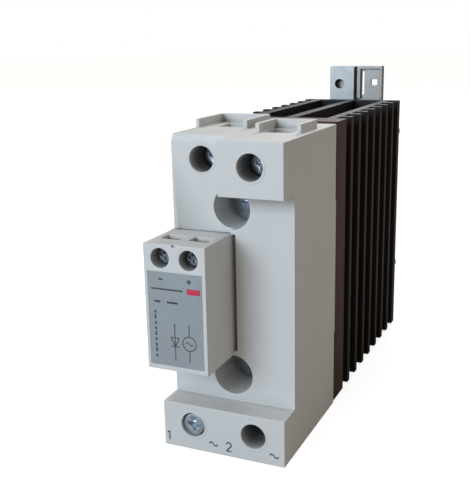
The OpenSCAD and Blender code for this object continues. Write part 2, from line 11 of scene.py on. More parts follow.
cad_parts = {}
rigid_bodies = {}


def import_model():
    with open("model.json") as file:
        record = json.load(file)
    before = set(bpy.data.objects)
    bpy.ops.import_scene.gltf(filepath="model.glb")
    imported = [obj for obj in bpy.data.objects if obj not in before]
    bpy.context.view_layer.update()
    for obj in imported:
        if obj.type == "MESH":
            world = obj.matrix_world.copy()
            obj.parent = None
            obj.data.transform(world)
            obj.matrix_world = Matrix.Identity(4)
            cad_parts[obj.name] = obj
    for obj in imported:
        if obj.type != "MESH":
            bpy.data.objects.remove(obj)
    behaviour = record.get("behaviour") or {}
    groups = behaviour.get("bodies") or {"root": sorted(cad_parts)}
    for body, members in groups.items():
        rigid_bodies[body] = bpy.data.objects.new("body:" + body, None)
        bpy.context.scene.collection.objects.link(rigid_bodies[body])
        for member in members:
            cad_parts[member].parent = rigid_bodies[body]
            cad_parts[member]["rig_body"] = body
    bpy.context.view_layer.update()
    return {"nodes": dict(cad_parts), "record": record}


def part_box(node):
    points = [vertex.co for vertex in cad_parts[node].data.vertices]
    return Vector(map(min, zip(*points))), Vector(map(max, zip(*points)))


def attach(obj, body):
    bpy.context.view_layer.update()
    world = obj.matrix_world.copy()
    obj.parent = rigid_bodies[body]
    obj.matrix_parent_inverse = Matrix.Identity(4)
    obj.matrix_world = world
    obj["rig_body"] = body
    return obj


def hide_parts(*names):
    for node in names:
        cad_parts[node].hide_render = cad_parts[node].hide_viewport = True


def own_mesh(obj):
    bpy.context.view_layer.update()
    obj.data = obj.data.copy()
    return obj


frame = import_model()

MM = 0.001
# Edges that turn by more than this are rounded, or stay hard where a piece has no rounding.
SHARP = math.radians(32)
# How far printed marks stand on their surface.
PRINT = 0.03 * MM
NODES = frame["nodes"]
SLOTS = {part["node"]: part["material_slot"] for part in frame["record"]["subparts"]}
SCENE = bpy.context.scene


def low(node):
    """Lowest corner of a CAD node."""
    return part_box(node)[0]


def high(node):
    """Highest corner of a CAD node."""
    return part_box(node)[1]


def middle(node):
    """Middle of a CAD node's box."""
    return (low(node) + high(node)) / 2


def put_in_scene(name, data):
    """A new object in the scene."""
    made = bpy.data.objects.new(name, data)
    SCENE.collection.objects.link(made)
    return made


# ---------- materials ----------

# Sockets of a Mix node in its colour mode, whose names are not unique.
FIRST_COLOUR, SECOND_COLOUR, MIXED_COLOUR = 6, 7, 2


def new_material(name):
    """A material with its node tree and its shader."""
    made = bpy.data.materials.new(name)
    made.use_nodes = True
    return made, made.node_tree, made.node_tree.nodes["Principled BSDF"]


def coordinates(tree, stretch=(1, 1, 1)):
    """Object coordinates, stretched along the axes."""
    source = tree.nodes.new("ShaderNodeTexCoord")
    mapping = tree.nodes.new("ShaderNodeMapping")
    mapping.inputs["Scale"].default_value = stretch
    tree.links.new(source.outputs["Object"], mapping.inputs["Vector"])
    return mapping.outputs["Vector"]


def noise(tree, vector, scale, detail=3, rough=0.55):
    """Noise value with so many features to the metre."""
    made = tree.nodes.new("ShaderNodeTexNoise")
    made.inputs["Scale"].default_value = scale
    made.inputs["Detail"].default_value = detail
    made.inputs["Roughness"].default_value = rough
    tree.links.new(vector, made.inputs["Vector"])
    return made.outputs["Fac"]


def spread(tree, value, low_to, high_to, low_from=0.3, high_from=0.7):
    """value mapped from one range to another, clamped."""
    made = tree.nodes.new("ShaderNodeMapRange")
    made.inputs["From Min"].default_value = low_from
    made.inputs["From Max"].default_value = high_from
    made.inputs["To Min"].default_value = low_to
    made.inputs["To Max"].default_value = high_to
    tree.links.new(value, made.inputs["Value"])
    return made.outputs["Result"]


def blend_colours(tree, factor, first, second):
    """Mix of two colours; each is a tuple or another node's output."""
    made = tree.nodes.new("ShaderNodeMix")
    made.data_type = "RGBA"
    tree.links.new(factor, made.inputs["Factor"])
    for number, colour in ((FIRST_COLOUR, first), (SECOND_COLOUR, second)):
        socket = made.inputs[number]
        if isinstance(colour, tuple):
            socket.default_value = (*colour, 1)
        else:
            tree.links.new(colour, socket)
    return made.outputs[MIXED_COLOUR]


def add_bump(tree, shader, height, strength, distance):
    """Bump from a height value, on top of what the shader has."""
    made = tree.nodes.new("ShaderNodeBump")
    made.inputs["Strength"].default_value = strength
    made.inputs["Distance"].default_value = distance
    tree.links.new(height, made.inputs["Height"])
    socket = shader.inputs["Normal"]
    if socket.is_linked:
        tree.links.new(socket.links[0].from_socket, made.inputs["Normal"])
    tree.links.new(made.outputs["Normal"], socket)


def paint_recess_shade(tree, base, reach, deepest):
    """base with painted shade: darker the deeper it lies in a recess of the same piece. reach is in
    metres, and deepest is the share of the colour that is left at the bottom."""
    open_sky = tree.nodes.new("ShaderNodeAmbientOcclusion")
    open_sky.only_local = True
    open_sky.samples = 8
    open_sky.inputs["Distance"].default_value = reach
    openness = spread(tree, open_sky.outputs["AO"], 0, 1, low_from=0.12, high_from=0.62)
    dark = tree.nodes.new("ShaderNodeMix")
    dark.data_type = "RGBA"
    dark.blend_type = "MULTIPLY"
    dark.inputs["Factor"].default_value = 1
    left_over = blend_colours(tree, openness, (deepest,) * 3, (1.0, 1.0, 1.0))
    tree.links.new(base, dark.inputs[FIRST_COLOUR])
    tree.links.new(left_over, dark.inputs[SECOND_COLOUR])
    return dark.outputs[MIXED_COLOUR]


def shade(colour, factor):
    """The colour, made lighter or darker."""
    return tuple(min(1, c * factor) for c in colour)


def surface(name, colour, rough, metal=0, vary=0.12, patch=60, grain=1500, grain_depth=0.02,
            stretch=(1, 1, 1), coat=0, spot=None):
    """Finish with patchy colour, uneven gloss and a fine grain.

    vary is how much lighter and darker the patches are, patch and grain are features to the
    metre, grain_depth is in millimetres, and spot is a second colour that shows in spots."""
    made, tree, shader = new_material(name)
    vector = coordinates(tree, stretch)
    shader.inputs["Metallic"].default_value = metal
    shader.inputs["Coat Weight"].default_value = coat
    shader.inputs["Coat Roughness"].default_value = 0.12
    patches = noise(tree, vector, patch, detail=5, rough=0.6)
    base = blend_colours(tree, spread(tree, patches, 0, 1),
                         shade(colour, 1 - vary), shade(colour, 1 + vary))
    if spot:
        spots = noise(tree, vector, patch * 7, detail=4)
        base = blend_colours(tree, spread(tree, spots, 0, 0.5, low_from=0.58, high_from=0.72),
                             base, spot)
    tree.links.new(base, shader.inputs["Base Color"])
    gloss = noise(tree, vector, patch * 4, detail=4)
    uneven = 0.07
    tree.links.new(spread(tree, gloss, rough - uneven, rough + uneven), shader.inputs["Roughness"])
    grains = noise(tree, vector, grain, detail=2)
    add_bump(tree, shader, grains, strength=0.6, distance=grain_depth * MM)
    return made


def plastic_finish(name, colour):
    """Moulded engineering plastic: spark-eroded grain, faint flow patches, handling marks and
    painted shade in its recesses.
    """
    made, tree, shader = new_material(name)
    vector = coordinates(tree)
    flow = noise(tree, coordinates(tree, (1, 1, 0.35)), scale=34, detail=4, rough=0.5)
    dust = noise(tree, vector, scale=420, detail=6, rough=0.7)
    base = blend_colours(tree, spread(tree, flow, 0, 1), shade(colour, 0.965), shade(colour, 1.03))
    base = blend_colours(tree, spread(tree, dust, 0, 0.35, low_from=0.6, high_from=0.8),
                         base, shade(colour, 0.82))
    # Painted shade: the colour darkens deep in the piece's own holes, wells and gaps.
    base = paint_recess_shade(tree, base, reach=10.3 * MM, deepest=0.06)
    tree.links.new(base, shader.inputs["Base Color"])
    handled = noise(tree, vector, scale=160, detail=4)
    tree.links.new(spread(tree, handled, 0.42, 0.56), shader.inputs["Roughness"])
    eroded = noise(tree, vector, scale=2600, detail=2)
    add_bump(tree, shader, eroded, strength=0.35, distance=0.03 * MM)
    add_bump(tree, shader, flow, strength=0.25, distance=0.12 * MM)
    shader.inputs["Specular IOR Level"].default_value = 0.42
    return made


def anodised_finish(name):
    """Black anodised extrusion with die lines up the profile; its thick front plate is brown."""
    made, tree, shader = new_material(name)
    lines = noise(tree, coordinates(tree, (1, 1, 0.012)), scale=900, detail=3, rough=0.7)
    broad = noise(tree, coordinates(tree, (1, 1, 0.06)), scale=130, detail=4, rough=0.6)
    split = tree.nodes.new("ShaderNodeSeparateXYZ")
    tree.links.new(coordinates(tree), split.inputs["Vector"])
    plate_end = low("heatsink").y + 12 * MM
    change = 0.6 * MM
    on_plate = spread(tree, split.outputs["Y"], 1, 0, plate_end - change, plate_end + change)
    broad = spread(tree, broad, 0, 1)
    base = blend_colours(tree, broad, (0.010, 0.008, 0.008), (0.022, 0.017, 0.016))
    brown = blend_colours(tree, broad, (0.041, 0.017, 0.011), (0.068, 0.031, 0.021))
    base = blend_colours(tree, on_plate, base, brown)
    tree.links.new(base, shader.inputs["Base Color"])
    shader.inputs["Metallic"].default_value = 0.3
    shader.inputs["Specular IOR Level"].default_value = 0.3
    tree.links.new(spread(tree, lines, 0.46, 0.6), shader.inputs["Roughness"])
    add_bump(tree, shader, lines, strength=0.5, distance=0.035 * MM)
    return made


def zinc_finish(name, colour, rough):
    """Zinc plate with faint crystals, rubbed streaks and a few dull spots."""
    made, tree, shader = new_material(name)
    vector = coordinates(tree)
    cells = tree.nodes.new("ShaderNodeTexVoronoi")
    cells.inputs["Scale"].default_value = 900
    tree.links.new(vector, cells.inputs["Vector"])
    rubbed = noise(tree, coordinates(tree, (1, 1, 0.08)), scale=1400, detail=3, rough=0.7)
    cloud = noise(tree, vector, scale=150, detail=5, rough=0.6)
    crystals = spread(tree, cells.outputs["Distance"], 0, 1, low_from=0, high_from=1)
    base = blend_colours(tree, crystals, shade(colour, 0.94), shade(colour, 1.05))
    base = blend_colours(tree, spread(tree, cloud, 0, 0.45, low_from=0.5, high_from=0.75),
                         base, shade(colour, 0.72))
    tree.links.new(base, shader.inputs["Base Color"])
    shader.inputs["Metallic"].default_value = 0.9
    tree.links.new(spread(tree, rubbed, rough - 0.08, rough + 0.1), shader.inputs["Roughness"])
    add_bump(tree, shader, rubbed, strength=0.3, distance=0.02 * MM)
    add_bump(tree, shader, cloud, strength=0.2, distance=0.05 * MM)
    return made


def board_finish(name):
    """Green solder mask over copper tracks."""
    made, tree, shader = new_material(name)
    vector = coordinates(tree, (1, 0.001, 1))
    tracks = tree.nodes.new("ShaderNodeTexBrick")
    tracks.inputs["Scale"].default_value = 160
    tracks.inputs["Mortar Size"].default_value = 0.05
    tracks.inputs["Color1"].default_value = (0, 0, 0, 1)
    tracks.inputs["Color2"].default_value = (0.2, 0.2, 0.2, 1)
    tracks.inputs["Mortar"].default_value = (1, 1, 1, 1)
    turn = tree.nodes.new("ShaderNodeMapping")
    turn.inputs["Rotation"].default_value = (math.radians(90), 0, 0)
    tree.links.new(vector, turn.inputs["Vector"])
    tree.links.new(turn.outputs["Vector"], tracks.inputs["Vector"])
    weave = noise(tree, vector, scale=1300, detail=2)
    copper = spread(tree, tracks.outputs["Color"], 0, 0.75, low_from=0, high_from=1)
    base = blend_colours(tree, copper, (0.012, 0.115, 0.045), (0.045, 0.26, 0.10))
    base = blend_colours(tree, spread(tree, weave, 0, 0.35), base, (0.01, 0.08, 0.035))
    tree.links.new(base, shader.inputs["Base Color"])
    tree.links.new(spread(tree, weave, 0.28, 0.4), shader.inputs["Roughness"])
    shader.inputs["Coat Weight"].default_value = 0.4
    add_bump(tree, shader, copper, strength=0.5, distance=0.03 * MM)
    return made


def lens_finish(name):
    """Red light pipe: clear plastic over a fine diffusing pattern."""
    made, tree, shader = new_material(name)
    vector = coordinates(tree)
    ribs = tree.nodes.new("ShaderNodeTexWave")
    ribs.inputs["Scale"].default_value = 700
    tree.links.new(vector, ribs.inputs["Vector"])
    depth = spread(tree, ribs.outputs["Fac"], 0, 1, low_from=0, high_from=1)
    base = blend_colours(tree, depth, (0.50, 0.012, 0.05), (0.78, 0.045, 0.12))
    tree.links.new(base, shader.inputs["Base Color"])
    shader.inputs["Roughness"].default_value = 0.22
    shader.inputs["Coat Weight"].default_value = 0.8
    add_bump(tree, shader, ribs.outputs["Fac"], strength=0.4, distance=0.04 * MM)
    return made


FINISH = {
    "grey_plastic": plastic_finish("grey_plastic", (0.62, 0.63, 0.63)),
    "black_anodised_aluminium": anodised_finish("black_anodised"),
    "zinc_steel": zinc_finish("zinc_screws", (0.60, 0.67, 0.76), rough=0.32),
    "zinc_sheet": zinc_finish("zinc_sheet", (0.36, 0.38, 0.39), rough=0.42),
    "plated_steel": zinc_finish("nickel_clamps", (0.66, 0.64, 0.58), rough=0.32),
    "nickel_plate": surface("nickel_plate", (0.62, 0.60, 0.56), rough=0.28, metal=1, vary=0.08,
                            patch=120, grain=1800, grain_depth=0.01, stretch=(1, 1, 0.1)),
    "spring_steel": surface("spring_wire", (0.46, 0.48, 0.51), rough=0.3, metal=1, vary=0.12,
                            patch=800, grain=4000, grain_depth=0.01),
    "copper": surface("copper", (0.72, 0.36, 0.22), rough=0.3, metal=1, vary=0.12, patch=110,
                      grain=1900, grain_depth=0.015, stretch=(1, 1, 0.15), spot=(0.34, 0.15, 0.09)),
    "gold_contact": surface("gold_contacts", (0.84, 0.62, 0.26), rough=0.24, metal=1, vary=0.08,
                            patch=500, grain=3000, grain_depth=0.008),
    "thermal_pad_silicone": surface("thermal_pad", (0.42, 0.43, 0.44), rough=0.75, vary=0.1,
                                    patch=160, grain=900, grain_depth=0.06),
    "white_ceramic": surface("ceramic", (0.80, 0.78, 0.72), rough=0.35, vary=0.05, patch=200,
                             grain=1500, grain_depth=0.02, coat=0.2),
    "silicon": surface("silicon", (0.16, 0.18, 0.24), rough=0.18, metal=0.6, vary=0.15, patch=700,
                       grain=3000, grain_depth=0.004, coat=0.5),
    "black_plastic": surface("black_plastic", (0.028, 0.028, 0.03), rough=0.5, vary=0.2, patch=180,
                             grain=2200, grain_depth=0.03),
    "circuit_board": board_finish("solder_mask"),
    "white_resin": surface("white_resin", (0.70, 0.70, 0.66), rough=0.5, vary=0.05, patch=300,
                           grain=2400, grain_depth=0.02),
    "blue_resin": surface("blue_resin", (0.05, 0.16, 0.40), rough=0.3, vary=0.14, patch=240,
                          grain=900, grain_depth=0.05, coat=0.4),
    "yellow_resin": surface("yellow_resin", (0.68, 0.46, 0.05), rough=0.32, vary=0.1, patch=240,
                            grain=900, grain_depth=0.05, coat=0.3),
    "cement": surface("cement", (0.52, 0.49, 0.40), rough=0.8, vary=0.12, patch=500, grain=1600,
                      grain_depth=0.08),
    "label_film": surface("label_film", (0.30, 0.335, 0.365), rough=0.42, vary=0.05, patch=90,
                          grain=3000, grain_depth=0.012),
    "red_lens": lens_finish("red_lens"),
    "led_resin": surface("led_resin", (0.78, 0.74, 0.52), rough=0.2, vary=0.08, patch=900,
                         grain=3000, grain_depth=0.01, coat=0.6),
}
# Nodes that are darker or duller than the rest of their slot. The control screws' dark zinc is
# painted shade for their deep holes; the rail bracket is a duller zinc.
OWN_FINISH = {
    "control_left_screw": zinc_finish("painted_shade_screws", (0.20, 0.22, 0.24), rough=0.36),
    "din_bracket": zinc_finish("dull_sheet", (0.295, 0.29, 0.28), rough=0.42),
}
OWN_FINISH["control_right_screw"] = OWN_FINISH["control_left_screw"]
INK = surface("printing_ink", (0.05, 0.055, 0.065), rough=0.5, vary=0.25, patch=900, grain=3000,
              grain_depth=0.01)
SOLDER = surface("solder", (0.56, 0.57, 0.58), rough=0.28, metal=1, vary=0.12, patch=900,
                 grain=2500, grain_depth=0.02)
BANDS = [surface("band_" + name, colour, rough=0.35, vary=0.1, patch=900, grain=2500,
                 grain_depth=0.01, coat=0.3)
         for name, colour in (("brown", (0.16, 0.05, 0.02)), ("black", (0.012, 0.012, 0.012)),
                              ("orange", (0.75, 0.20, 0.02)))]


# ---------- mesh helpers ----------

def join_flat_faces(bm):
    """Joins neighbouring faces that lie in one plane."""
    flat = math.radians(0.4)
    bmesh.ops.dissolve_limit(bm, angle_limit=flat, verts=bm.verts, edges=bm.edges)


def cad_mesh(node):
    """A CAD node's mesh with its flat faces joined, ready to be worked on."""
    bm = bmesh.new()
    bm.from_mesh(NODES[node].data)
    bmesh.ops.remove_doubles(bm, verts=bm.verts, dist=0.002 * MM)
    join_flat_faces(bm)
    return bm


def set_edge_widths(bm, width, rejoin):
    """Marks sharp edges for rounding, each by as much as the narrowest place beside it allows.

    share is how much of a narrow place one rounding may take. Only edges of many widths measure
    the strips beside them, and a corner of more sharp edges than usual gets no rounding. From
    one edge to the next that carries on nearly straight, the width grows by step at most.
    Unmarked edges that leave at a slight angle don't limit it. rejoin joins the flat faces
    again afterwards."""
    share = 0.45
    many = 4
    usual = 3
    straight = math.radians(150)
    slight = math.radians(25)
    step = 0.06 * MM
    passes = 5
    bmesh.ops.triangulate(bm, faces=[face for face in bm.faces if len(face.verts) > 4])
    weight = bm.edges.layers.float.new("bevel_weight_edge")
    marked = {edge for edge in bm.edges
              if len(edge.link_faces) == 2 and edge.calc_face_angle(0) > SHARP}
    room_at = dict.fromkeys(bm.verts, width)
    for edge in marked:
        if edge.calc_length() < many * width:
            continue
        for face in edge.link_faces:
            across = face.calc_area() / edge.calc_length() * (2 if len(face.verts) == 3 else 1)
            for vert in face.verts:
                room_at[vert] = min(room_at[vert], share * across)
    for vert in bm.verts:
        if len([edge for edge in vert.link_edges if edge in marked]) > usual:
            room_at[vert] = 0
    rooms = {}
    carries_on = {}
    for edge in marked:
        rooms[edge] = min(room_at[vert] for vert in edge.verts)
        carries_on[edge] = []
        for vert in edge.verts:
            away = edge.other_vert(vert).co - vert.co
            for other in vert.link_edges:
                reach = other.other_vert(vert).co - vert.co
                turn = away.angle(reach, 0)
                if other is edge:
                    continue
                if turn >= straight:
                    carries_on[edge].append(other)
                elif turn > slight or other in marked:
                    rooms[edge] = min(rooms[edge], share * reach.length * math.sin(turn))
    for _ in range(passes):
        before = dict(rooms)
        for edge in marked:
            for other in carries_on[edge]:
                if other in marked:
                    rooms[edge] = min(rooms[edge], before[other] + step)
    for edge in marked:
        edge[weight] = rooms[edge] / width
        edge.smooth = rooms[edge] > 0
    if rejoin:
        join_flat_faces(bm)


def add_piece(name, bm, body, slot, material, replaced=(), bevel=0, segments=3, rejoin=True):
    """Turns a bmesh into a piece that rides on a body. bevel is the edge radius in millimetres,
    and rejoin belongs to set_edge_widths."""
    mesh = bpy.data.meshes.new(name)
    if bevel:
        set_edge_widths(bm, bevel * MM, rejoin)
    bmesh.ops.recalc_face_normals(bm, faces=bm.faces)
    for face in bm.faces:
        face.smooth = True
    bm.to_mesh(mesh)
    bm.free()
    if not bevel:
        mesh.set_sharp_from_angle(angle=SHARP)
    made = put_in_scene(name, mesh)
    mesh.materials.append(material)
    if bevel:
        rounding = made.modifiers.new("rounding", "BEVEL")
        rounding.width = bevel * MM
        rounding.segments = segments
        rounding.limit_method = "WEIGHT"
        rounding.use_clamp_overlap = False
        rounding.loop_slide = False
        flat = made.modifiers.new("flat_faces", "WEIGHTED_NORMAL")
        flat.weight = 100
    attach(made, body)
    if replaced:
        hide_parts(*replaced)
    return made


def stand_in(node, bm, **rounding):
    """Turns a bmesh into the piece that stands in for a CAD node."""
    slot = SLOTS[node]
    finish = OWN_FINISH.get(node, FINISH[slot])
    body = NODES[node]["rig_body"]
    return add_piece(node + "_piece", bm, body, slot, finish, (node,), **rounding)


def dress(node, bevel=0.15, segments=2, rejoin=True):
    """Stands a round-edged copy of a CAD node in for it."""
    return stand_in(node, cad_mesh(node), bevel=bevel, segments=segments, rejoin=rejoin)


def join_rings(bm, rings, capped=True):
    """Adds the faces between rings of points, and one on each end."""
    for first, second in zip(rings, rings[1:]):
        for i in range(len(first)):
            j = (i + 1) % len(first)
            bm.faces.new((first[i], first[j], second[j], second[i]))
    if capped:
        bm.faces.new(list(reversed(rings[0])))
        bm.faces.new(rings[-1])


def revolve(bm, profile, centre, axis, steps=32):
    """Adds a closed body of revolution. profile is a list of (along, radius) from end to end."""
    turn = Vector((0, 0, 1)).rotation_difference(Vector(axis)).to_matrix()
    rings = []
    for along, radius in profile:
        ring = []
        for i in range(steps):
            angle = 2 * math.pi * i / steps
            point = Vector((radius * math.cos(angle), radius * math.sin(angle), along))
            ring.append(bm.verts.new(Vector(centre) + turn @ point))
        rings.append(ring)
    join_rings(bm, rings)


def tube(bm, path, radius, steps=10):
    """Adds a round wire along a path of points."""
    points = [Vector(p) for p in path]
    side = None
    rings = []
    for i, point in enumerate(points):
        before, after = points[max(i - 1, 0)], points[min(i + 1, len(points) - 1)]
        along = (after - before).normalized()
        if side is None:
            side = along.orthogonal().normalized()
        side = (side - along * side.dot(along)).normalized()
        across = along.cross(side)
        rings.append([bm.verts.new(point + radius * (math.cos(a) * side + math.sin(a) * across))
                      for a in (2 * math.pi * k / steps for k in range(steps))])
    join_rings(bm, rings)


def block(bm, corner, far):
    """Adds a box between two corners."""
    size = [b - a for a, b in zip(corner, far)]
    centre = [(a + b) / 2 for a, b in zip(corner, far)]
    place = Matrix.Translation(centre) @ Matrix.Diagonal((*size, 1))
    bmesh.ops.create_cube(bm, size=1, matrix=place)


# ---------- screws ----------

def thread(bm, x, z, start, end, radius, pitch, steps=36):
    """Adds a right-hand threaded rod along y, whose thread fades out towards both ends."""
    depth = 0.28 * pitch + 0.06 * MM
    rings_a_turn = 8
    count = max(2, round((end - start) / pitch * rings_a_turn))
    rings = []
    for i in range(count + 1):
        y = start + (end - start) * i / count
        fade = min(1, (y - start) / pitch, (end - y) / pitch + 0.15)
        ring = []
        for k in range(steps):
            angle = 2 * math.pi * k / steps
            phase = (y / pitch - angle / (2 * math.pi)) % 1
            r = radius - depth * fade * abs(2 * phase - 1)
            ring.append(bm.verts.new((x + r * math.sin(angle), y, z + r * math.cos(angle))))
        rings.append(ring)
    join_rings(bm, rings)


def screw(node, head, radius, pitch, tip, rounding=0.14):
    """Screw with the CAD's recessed head and a real thread.

    tip is its plain pin's (length, radius), and rounding is in millimetres."""
    bm = cad_mesh(node)
    lo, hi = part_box(node)
    centre = (lo + hi) / 2
    overlap = 0.3 * MM
    inset = 0.01 * MM
    chamfer = 0.2 * MM
    neck = lo.y + head + 0.5 * MM
    cut = bmesh.ops.bisect_plane(bm, geom=bm.verts[:] + bm.edges[:] + bm.faces[:], dist=1e-7,
                                 plane_co=(0, neck, 0), plane_no=(0, 1, 0), clear_outer=True)
    edges = [e for e in cut["geom_cut"] if isinstance(e, bmesh.types.BMEdge)]
    bmesh.ops.holes_fill(bm, edges=edges, sides=0)
    sharp = [e for e in bm.edges if len(e.link_faces) == 2 and e.calc_face_angle(0) > SHARP]
    bmesh.ops.bevel(bm, geom=sharp, offset=rounding * MM, segments=2, affect="EDGES", profile=0.5,
                    clamp_overlap=True)
    length, pin = tip
    end = hi.y - length
    thread(bm, centre.x, centre.z, neck - overlap, end, radius - inset, pitch)
    revolve(bm, [(-overlap, pin), (length - chamfer, pin), (length, pin - chamfer)],
            (centre.x, end, centre.z), (0, 1, 0))
    return stand_in(node, bm)


def screw_group(node, columns, head, head_radius, radius, pitch, towards=1):
    """Identical screws in one node, in two rows at the ends of its box. towards is 1 or -1, the
    way their tips point in y."""
    lo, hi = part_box(node)
    xs = [lo.x + head_radius, hi.x - head_radius][:columns]
    zs = [lo.z + head_radius, hi.z - head_radius]
    bm = bmesh.new()
    top, tip = (lo.y, hi.y) if towards > 0 else (hi.y, lo.y)
    for x in xs:
        for z in zs:
            pan_head(bm, x, top, z, head, head_radius, towards)
            shoulder = top + towards * (head - 0.2 * MM)
            thread(bm, x, z, min(shoulder, tip), max(shoulder, tip), radius, pitch)
    return stand_in(node, bm)


def pan_head(bm, x, top, z, head, radius, towards):
    """Rounded screw head with a cross recess, as rings whose front dips into a cross."""
    count = 15
    steps = 64
    arm = radius * 0.15
    reach = radius * 0.62
    fall = head * 0.32
    rings = []
    for i in range(count + 1):
        r = radius * i / count
        ring = []
        for k in range(steps):
            angle = 2 * math.pi * k / steps
            px, pz = r * math.cos(angle), r * math.sin(angle)
            crown = fall * (r / radius) ** 3
            in_cross = min(abs(px), abs(pz)) < arm and max(abs(px), abs(pz)) < reach
            in_star = min(abs(px + pz), abs(px - pz)) < arm * 0.5 and r < reach * 0.85
            dip = head * 0.6 if in_cross else head * 0.12 if in_star else 0
            ring.append(bm.verts.new((x + px, top + towards * (crown + dip), z + pz)))
        rings.append(ring)
    rim = [bm.verts.new((v.co.x, top + towards * head, v.co.z)) for v in rings[-1]]
    rings.append(rim)
    join_rings(bm, rings[1:], capped=False)
    bmesh.ops.delete(bm, geom=rings[0][1:], context="VERTS")
    centre = rings[0][0]
    for k in range(steps):
        bm.faces.new((centre, rings[1][(k + 1) % steps], rings[1][k]))
    bm.faces.new(rim)


for corner in ("top_left", "top_right", "bottom_left", "bottom_right"):
    screw(corner + "_screw", head=3.8 * MM, radius=3 * MM, pitch=1 * MM, tip=(1.2 * MM, 1.8 * MM))
    dress(corner + "_pad", 0.2)
for side in ("left", "right"):
    screw("control_" + side + "_screw", head=1.6 * MM, radius=1.5 * MM, pitch=0.5 * MM,
          tip=(0.6 * MM, 0.9 * MM), rounding=0.08)
    dress("control_" + side + "_pad", 0.12)
screw_group("mounting_screws", columns=1, head=3.1 * MM, head_radius=4 * MM, radius=1.95 * MM,
            pitch=0.7 * MM)
screw_group("bracket_screws", columns=2, head=2.6 * MM, head_radius=3.4 * MM, radius=1.95 * MM,
            pitch=0.7 * MM, towards=-1)


# ---------- housing, heatsink and power stage ----------

dress("housing", 0.26, 3)
dress("heatsink", 0.3, 2)
for node in ("thermal_pad", "ceramic_substrate", "copper_pads", "thyristor_chips", "cross_straps"):
    dress(node, 0.05, 1)
for node in ("power_base_plate", "line_busbar", "load_busbar", "stage_frame"):
    dress(node, 0.2)
dress("terminal_cages", 0.3, 3)
dress("spring_washers", 0.12)


def hole_rings():
    """Low moulded rings round the driver holes of the four power terminals."""
    inner = 4.45 * MM
    outer = 5.3 * MM
    proud = 0.12 * MM
    sunk = 0.2 * MM
    steps = 72
    outline = [(inner, 0), (inner + 0.1 * MM, -proud), (outer - 0.15 * MM, -proud), (outer, 0),
               (outer, sunk), (inner, sunk)]
    front = low("housing").y
    # Where the face round each hole lies.
    faces = {"top_left": front + 12.3 * MM, "top_right": front + 0.3 * MM,
             "bottom_left": front, "bottom_right": front}
    bm = bmesh.new()
    for name, y in faces.items():
        centre = middle(name + "_screw")
        sections = []
        for k in range(steps):
            angle = 2 * math.pi * k / steps
            across, up = math.cos(angle), math.sin(angle)
            sections.append([bm.verts.new((centre.x + r * across, y + rise, centre.z + r * up))
                             for r, rise in outline])
        join_rings(bm, sections + sections[:1], capped=False)
    slot = SLOTS["housing"]
    add_piece("hole_rings", bm, "relay", slot, FINISH[slot])


hole_rings()


# ---------- printed marks ----------

def full_width(stroke, half_width):
    """The stroke with points added near its corners, so that a sharp turn thins only the corner."""
    points = [stroke[0]]
    for start, end in zip(stroke, stroke[1:]):
        length = math.dist(start, end)
        if length > 4 * half_width:
            near = 0.6 * half_width / length
            for share in (near, 1 - near):
                points.append(tuple(a + (b - a) * share for a, b in zip(start, end)))
        points.append(end)
    return points


def ink(name, strokes, half_width, face, body):
    """Printed lines on a face that looks to the front. strokes hold (x, z) points in metres."""
    curve = bpy.data.curves.new(name, "CURVE")
    curve.dimensions = "3D"
    curve.bevel_depth = half_width
    curve.bevel_resolution = 2
    curve.use_fill_caps = True
    for stroke in strokes:
        closed = stroke[0] == stroke[-1]
        points = full_width(stroke, half_width)
        points = points[:-1] if closed else points
        spline = curve.splines.new("POLY")
        spline.points.add(len(points) - 1)
        spline.use_cyclic_u = closed
        for point, (x, z) in zip(spline.points, points):
            point.co = (x, 0, z, 1)
    source = put_in_scene(name, curve)
    shown = source.evaluated_get(bpy.context.evaluated_depsgraph_get())
    bm = bmesh.new()
    bm.from_mesh(shown.to_mesh())
    bpy.data.objects.remove(source)
    for vert in bm.verts:
        vert.co.y = face + vert.co.y / half_width * PRINT
    return add_piece(name, bm, body, SLOTS["housing"], INK)


def moved(stroke, x, z, size):
    """A stroke in units of its own, scaled and moved."""
    return [(x + px * size, z + pz * size) for px, pz in stroke]


def arc(x, z, radius, start, end, steps=16):
    """Points on an arc, angles in degrees."""
    turns = [math.radians(start + (end - start) * i / steps) for i in range(steps + 1)]
    return [(x + radius * math.cos(a), z + radius * math.sin(a)) for a in turns]


def ring(x, z, radius):
    """Closed circle."""
    points = arc(x, z, radius, 0, 360, 28)[:-1]
    return points + [points[0]]


ONE = [[(-0.28, 0.3), (0, 0.5), (0, -0.5)]]
TWO = [arc(0, 0.22, 0.28, 165, -35) + [(-0.28, -0.5), (0.3, -0.5)]]
WAVE = [[(i / 12 - 0.5, 0.2 * math.sin(2 * math.pi * i / 12)) for i in range(13)]]
PLUS = [[(-0.4, 0), (0.4, 0)], [(0, -0.4), (0, 0.4)]]
MINUS = [[(-0.4, 0), (0.4, 0)]]


def place_marks():
    """Terminal numbers and alternating current signs along the bottom block."""
    corner = low("housing")
    up = 3.6 * MM
    size = 3.2 * MM
    strokes = []
    for signs, along in ((ONE, 1.9), (WAVE, 18.9), (TWO, 24.7), (WAVE, 41.3)):
        strokes += [moved(stroke, corner.x + along * MM, up, size) for stroke in signs]
    ink("terminal_marks", strokes, 0.24 * MM, corner.y, "relay")


